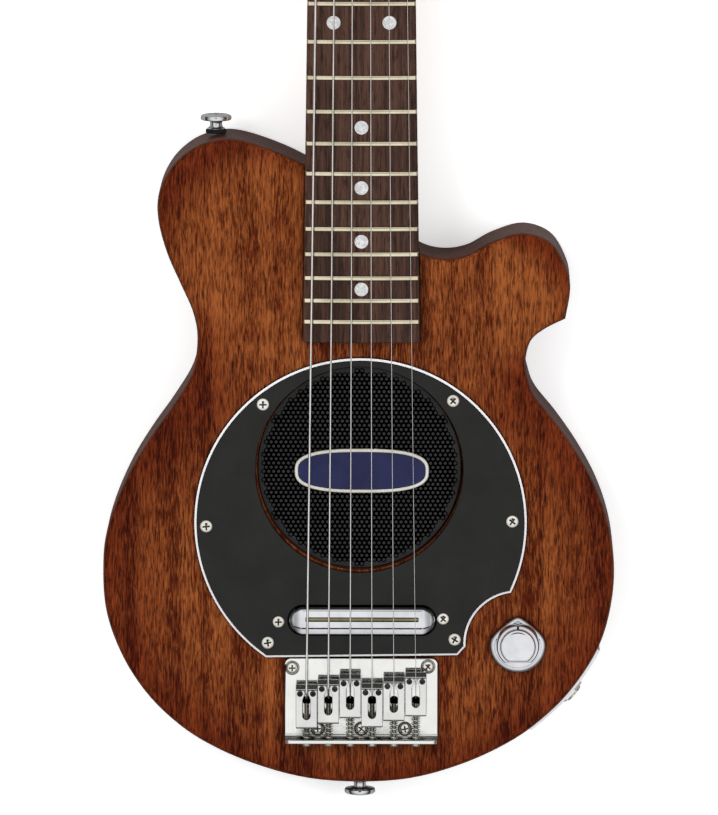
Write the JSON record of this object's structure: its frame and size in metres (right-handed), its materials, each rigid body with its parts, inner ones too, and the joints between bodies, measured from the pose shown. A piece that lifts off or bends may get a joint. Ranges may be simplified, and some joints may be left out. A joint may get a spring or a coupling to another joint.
{
  "type": "travel guitar",
  "caption": "Short solid-body electric travel guitar with one cutaway, a built-in speaker behind a round grille, a bar pickup, a hardtail bridge and a bolt-on neck.",
  "frame": {"origin": "on the flat back of the body, under the middle of the theoretical saddle line", "axes": "+X to the treble side, +Y along the neck to the headstock, +Z out of the face"},
  "size_m": [0.2441, 0.8416, 0.057],
  "materials": {
    "mahogany": "satin open-pored",
    "maple": "satin",
    "rosewood": "oiled",
    "bone": "polished",
    "black_plastic": "satin, with a white ply at the bevel",
    "black_metal": "matte black",
    "paper_cone": "pressed paper",
    "steel": "plain",
    "chrome": "bright plate",
    "circuit_board": "solder mask",
    "battery_case": "satin"
  },
  "bodies": {
    "guitar": {"body": "mahogany", "neck": "maple", "fretboard": "rosewood", "nut": "bone", "pickguard": "black_plastic", "rear_cover": "black_plastic", "speaker_grille": "black_metal", "speaker_basket": "black_metal", "speaker_cone": "paper_cone", "speaker_magnet": "steel", "pickup_core": "steel", "truss_rod": "steel", "volume_pot": "steel", "intonation_spring_1": "steel", "intonation_spring_2": "steel", "intonation_spring_3": "steel", "intonation_spring_4": "steel", "intonation_spring_5": "steel", "intonation_spring_6": "steel", "string_1": "steel", "string_2": "steel", "string_3": "steel", "string_4": "steel", "string_5": "steel", "string_6": "steel", "pickup_cover": "chrome", "bridge_plate": "chrome", "neck_plate": "chrome", "strap_button_upper": "chrome", "strap_button_lower": "chrome", "output_jack": "chrome", "ferrule_block": "chrome", "tuner_housing_1": "chrome", "tuner_housing_2": "chrome", "tuner_housing_3": "chrome", "tuner_housing_4": "chrome", "tuner_housing_5": "chrome", "tuner_housing_6": "chrome", "amp_board": "circuit_board", "battery": "battery_case"},
    "volume_knob": {"volume_knob": "chrome"},
    "battery_door": {"battery_door": "black_plastic"},
    "saddle_1": {"saddle_1": "chrome"},
    "tuner_post_1": {"tuner_post_1": "chrome"},
    "tuner_button_1": {"tuner_button_1": "chrome"},
    "saddle_2": {"saddle_2": "chrome"},
    "tuner_post_2": {"tuner_post_2": "chrome"},
    "tuner_button_2": {"tuner_button_2": "chrome"},
    "saddle_3": {"saddle_3": "chrome"},
    "tuner_post_3": {"tuner_post_3": "chrome"},
    "tuner_button_3": {"tuner_button_3": "chrome"},
    "saddle_4": {"saddle_4": "chrome"},
    "tuner_post_4": {"tuner_post_4": "chrome"},
    "tuner_button_4": {"tuner_button_4": "chrome"},
    "saddle_5": {"saddle_5": "chrome"},
    "tuner_post_5": {"tuner_post_5": "chrome"},
    "tuner_button_5": {"tuner_button_5": "chrome"},
    "saddle_6": {"saddle_6": "chrome"},
    "tuner_post_6": {"tuner_post_6": "chrome"},
    "tuner_button_6": {"tuner_button_6": "chrome"}
  },
  "joints": [
    {"name": "volume_turn", "type": "hinge", "parent": "guitar", "child": "volume_knob", "pos_m": [0.0748, 0.0151, 0.05], "axis": [0, 0, 1], "range_deg": [-150, 150]},
    {"name": "battery_door_hinge", "type": "hinge", "parent": "guitar", "child": "battery_door", "pos_m": [-0.063, 0.00435, 0.0014], "axis": [-1, 0, 0], "range_deg": [0, 90]},
    {"name": "saddle_slide_1", "type": "slide", "parent": "guitar", "child": "saddle_1", "axis": [0, 1, 0], "range_m": [-0.001, 0.0025], "deforming": ["intonation_spring_1"]},
    {"name": "tuner_button_turn_1", "type": "hinge", "parent": "guitar", "child": "tuner_button_1", "pos_m": [-0.05, 0.6499, 0.02185], "axis": [-1, 0, 0], "continuous": true},
    {"name": "tuner_post_turn_1", "type": "hinge", "parent": "guitar", "child": "tuner_post_1", "pos_m": [-0.026, 0.6565, 0.045], "axis": [0, 0, 1], "continuous": true},
    {"name": "saddle_slide_2", "type": "slide", "parent": "guitar", "child": "saddle_2", "axis": [0, 1, 0], "range_m": [-0.001, 0.0025], "deforming": ["intonation_spring_2"]},
    {"name": "tuner_button_turn_2", "type": "hinge", "parent": "guitar", "child": "tuner_button_2", "pos_m": [-0.05, 0.6879, 0.02185], "axis": [-1, 0, 0], "continuous": true},
    {"name": "tuner_post_turn_2", "type": "hinge", "parent": "guitar", "child": "tuner_post_2", "pos_m": [-0.026, 0.6945, 0.045], "axis": [0, 0, 1], "continuous": true},
    {"name": "saddle_slide_3", "type": "slide", "parent": "guitar", "child": "saddle_3", "axis": [0, 1, 0], "range_m": [-0.001, 0.0025], "deforming": ["intonation_spring_3"]},
    {"name": "tuner_button_turn_3", "type": "hinge", "parent": "guitar", "child": "tuner_button_3", "pos_m": [-0.05, 0.7259, 0.02185], "axis": [-1, 0, 0], "continuous": true},
    {"name": "tuner_post_turn_3", "type": "hinge", "parent": "guitar", "child": "tuner_post_3", "pos_m": [-0.026, 0.7325, 0.045], "axis": [0, 0, 1], "continuous": true},
    {"name": "saddle_slide_4", "type": "slide", "parent": "guitar", "child": "saddle_4", "axis": [0, 1, 0], "range_m": [-0.001, 0.0025], "deforming": ["intonation_spring_4"]},
    {"name": "tuner_button_turn_4", "type": "hinge", "parent": "guitar", "child": "tuner_button_4", "pos_m": [0.05, 0.7259, 0.02185], "axis": [1, 0, 0], "continuous": true},
    {"name": "tuner_post_turn_4", "type": "hinge", "parent": "guitar", "child": "tuner_post_4", "pos_m": [0.026, 0.7325, 0.045], "axis": [0, 0, 1], "continuous": true},
    {"name": "saddle_slide_5", "type": "slide", "parent": "guitar", "child": "saddle_5", "axis": [0, 1, 0], "range_m": [-0.001, 0.0025], "deforming": ["intonation_spring_5"]},
    {"name": "tuner_button_turn_5", "type": "hinge", "parent": "guitar", "child": "tuner_button_5", "pos_m": [0.05, 0.6879, 0.02185], "axis": [1, 0, 0], "continuous": true},
    {"name": "tuner_post_turn_5", "type": "hinge", "parent": "guitar", "child": "tuner_post_5", "pos_m": [0.026, 0.6945, 0.045], "axis": [0, 0, 1], "continuous": true},
    {"name": "saddle_slide_6", "type": "slide", "parent": "guitar", "child": "saddle_6", "axis": [0, 1, 0], "range_m": [-0.001, 0.0025], "deforming": ["intonation_spring_6"]},
    {"name": "tuner_button_turn_6", "type": "hinge", "parent": "guitar", "child": "tuner_button_6", "pos_m": [0.05, 0.6499, 0.02185], "axis": [1, 0, 0], "continuous": true},
    {"name": "tuner_post_turn_6", "type": "hinge", "parent": "guitar", "child": "tuner_post_6", "pos_m": [0.026, 0.6565, 0.045], "axis": [0, 0, 1], "continuous": true}
  ],
  "couplings": [
    {"joint": "tuner_post_turn_1", "follows": "tuner_button_turn_1", "ratio": 0.071429},
    {"joint": "tuner_post_turn_2", "follows": "tuner_button_turn_2", "ratio": 0.071429},
    {"joint": "tuner_post_turn_3", "follows": "tuner_button_turn_3", "ratio": 0.071429},
    {"joint": "tuner_post_turn_4", "follows": "tuner_button_turn_4", "ratio": -0.071429},
    {"joint": "tuner_post_turn_5", "follows": "tuner_button_turn_5", "ratio": -0.071429},
    {"joint": "tuner_post_turn_6", "follows": "tuner_button_turn_6", "ratio": -0.071429}
  ]
}
